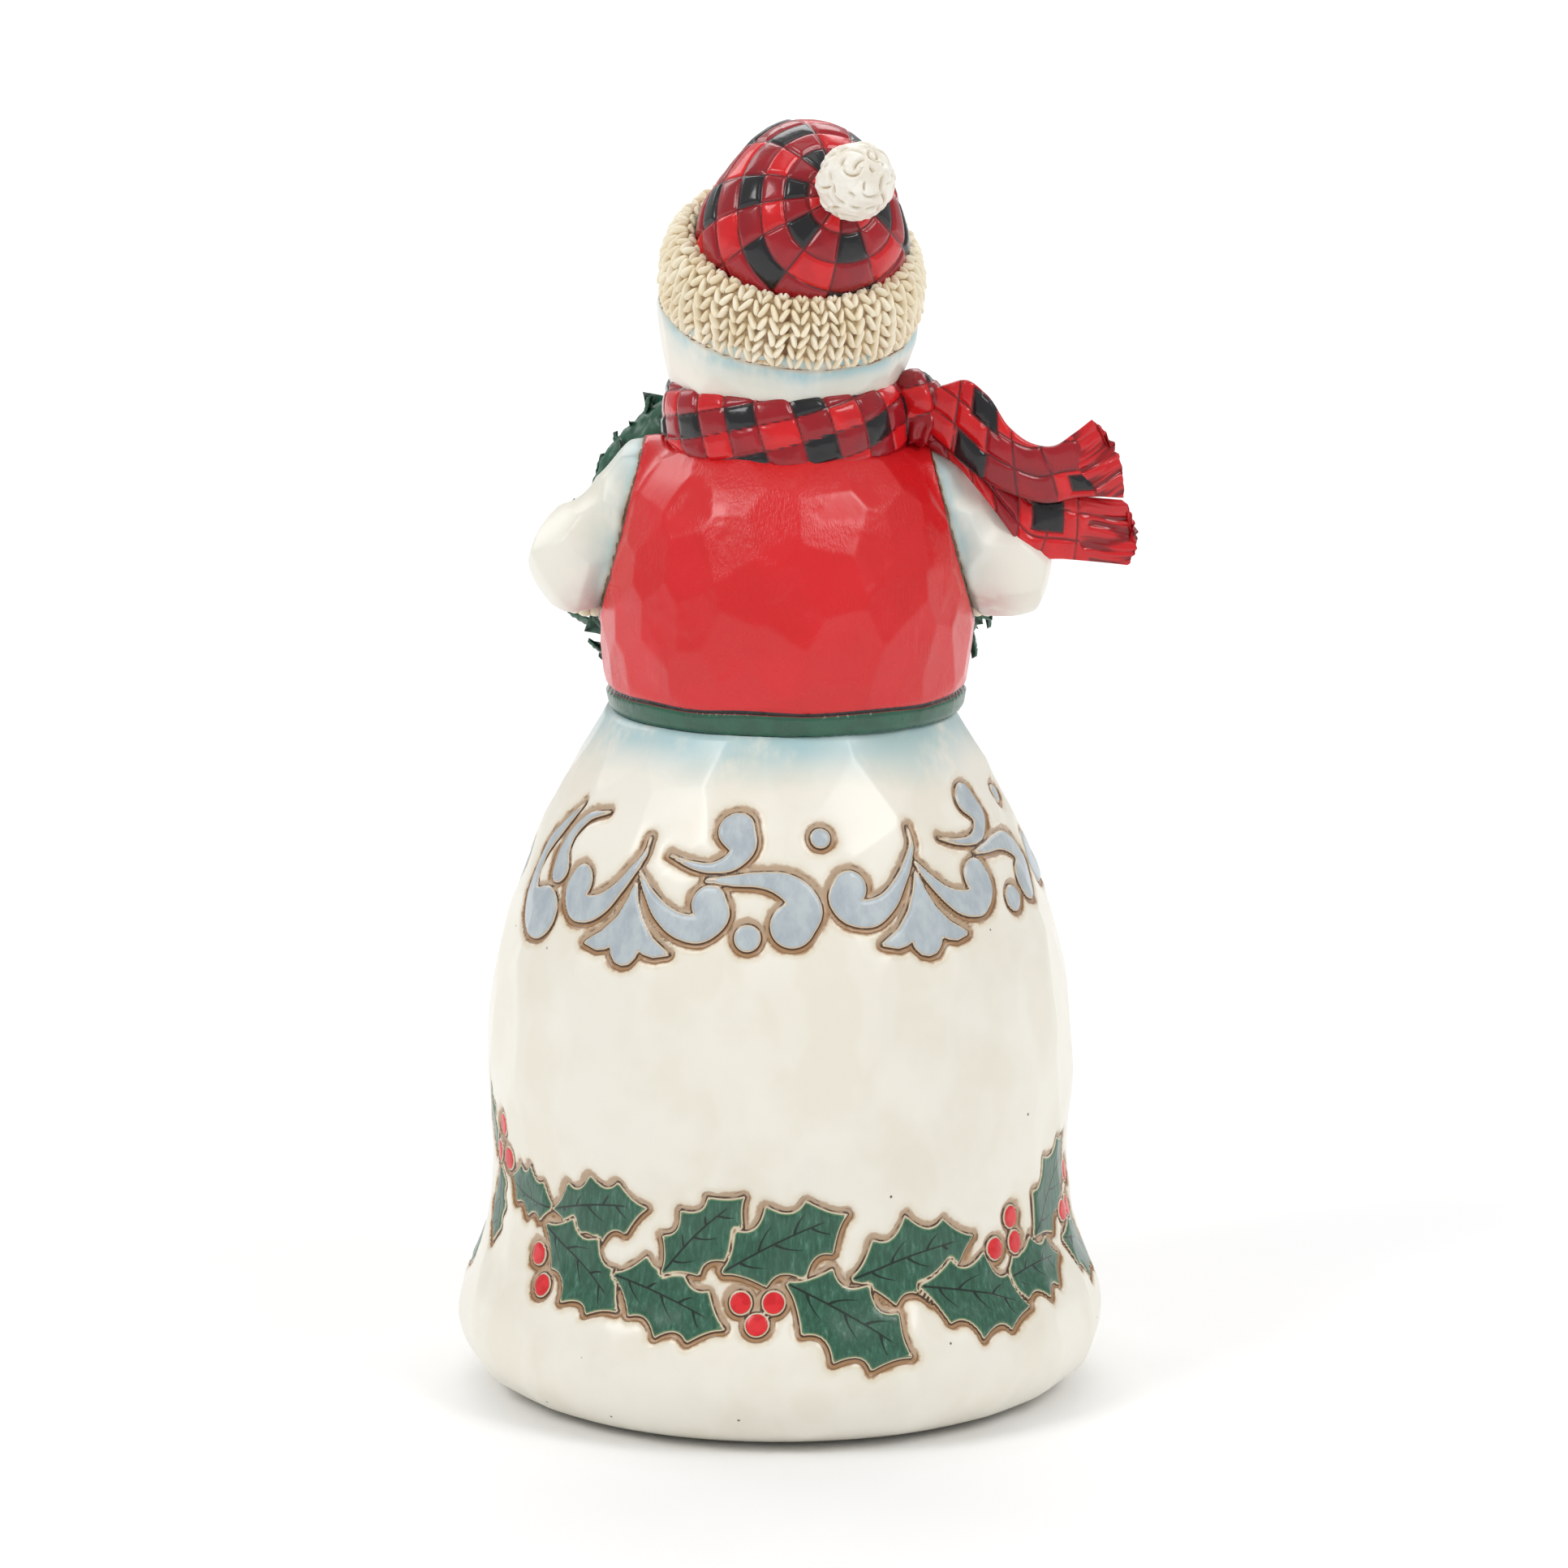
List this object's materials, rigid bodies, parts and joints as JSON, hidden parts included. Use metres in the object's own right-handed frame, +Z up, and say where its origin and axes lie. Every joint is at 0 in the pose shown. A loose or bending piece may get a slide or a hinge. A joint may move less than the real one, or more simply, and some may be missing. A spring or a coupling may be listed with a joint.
{
  "type": "wooden snowman figure",
  "caption": "Standing carved snowman in a bobble hat, scarf and vest, holding a wreath in front, on a flared felted foot.",
  "frame": {"origin": "centre of the felt pad's resting face, on the turning axis of the lower body", "axes": "+Z up, through the figure's height; the face looks towards -Y and the figure's left hand is towards +X"},
  "size_m": [0.1282, 0.1244, 0.2422],
  "materials": {
    "painted_cream_wood": "carved wood, cream paint with a satin varnish",
    "painted_vest_wood": "knife-cut wood, red paint with a satin varnish",
    "painted_plaid": "carved wood, red and black plaid paint, glossy varnish",
    "painted_knit": "carved wood, ivory paint with a brown wash",
    "painted_greenery": "carved wood, dark green paint",
    "painted_berry": "wooden beads, red paint, glossy",
    "painted_cone": "carved wood, brown paint",
    "painted_mitten": "carved wood, dark green paint",
    "painted_trim": "turned wood, black paint",
    "painted_nose": "whittled wood, orange paint",
    "plain_wood": "unpainted beech",
    "green_felt": "pressed felt",
    "steel_pin": "cut wire"
  },
  "bodies": {
    "root": {"lower_body": "painted_cream_wood", "base_plate": "plain_wood", "felt_pad": "green_felt", "waist_dowel": "plain_wood", "torso": "painted_vest_wood", "neck_dowel": "plain_wood", "vest_buttons": "painted_trim", "head": "painted_cream_wood", "carrot_nose": "painted_nose", "coal_eyes": "painted_trim", "coal_mouth": "painted_trim", "hat_cuff": "painted_knit", "hat_crown": "painted_plaid", "hat_dowel": "plain_wood", "pompom": "painted_knit", "pompom_peg": "plain_wood", "scarf_wrap": "painted_plaid", "scarf_knot": "painted_plaid", "knot_pin": "steel_pin", "scarf_tail_upper": "painted_plaid", "scarf_tail_lower": "painted_plaid", "tail_pins": "steel_pin", "arm_left": "painted_cream_wood", "arm_right": "painted_cream_wood", "arm_dowels": "plain_wood", "mitten_left": "painted_mitten", "mitten_right": "painted_mitten", "mitten_pegs": "plain_wood", "wreath_ring": "painted_greenery", "wreath_leaves": "painted_greenery", "wreath_berries": "painted_berry", "pine_cones": "painted_cone", "wreath_bow": "painted_plaid", "wreath_pins": "steel_pin"}
  },
  "joints": []
}
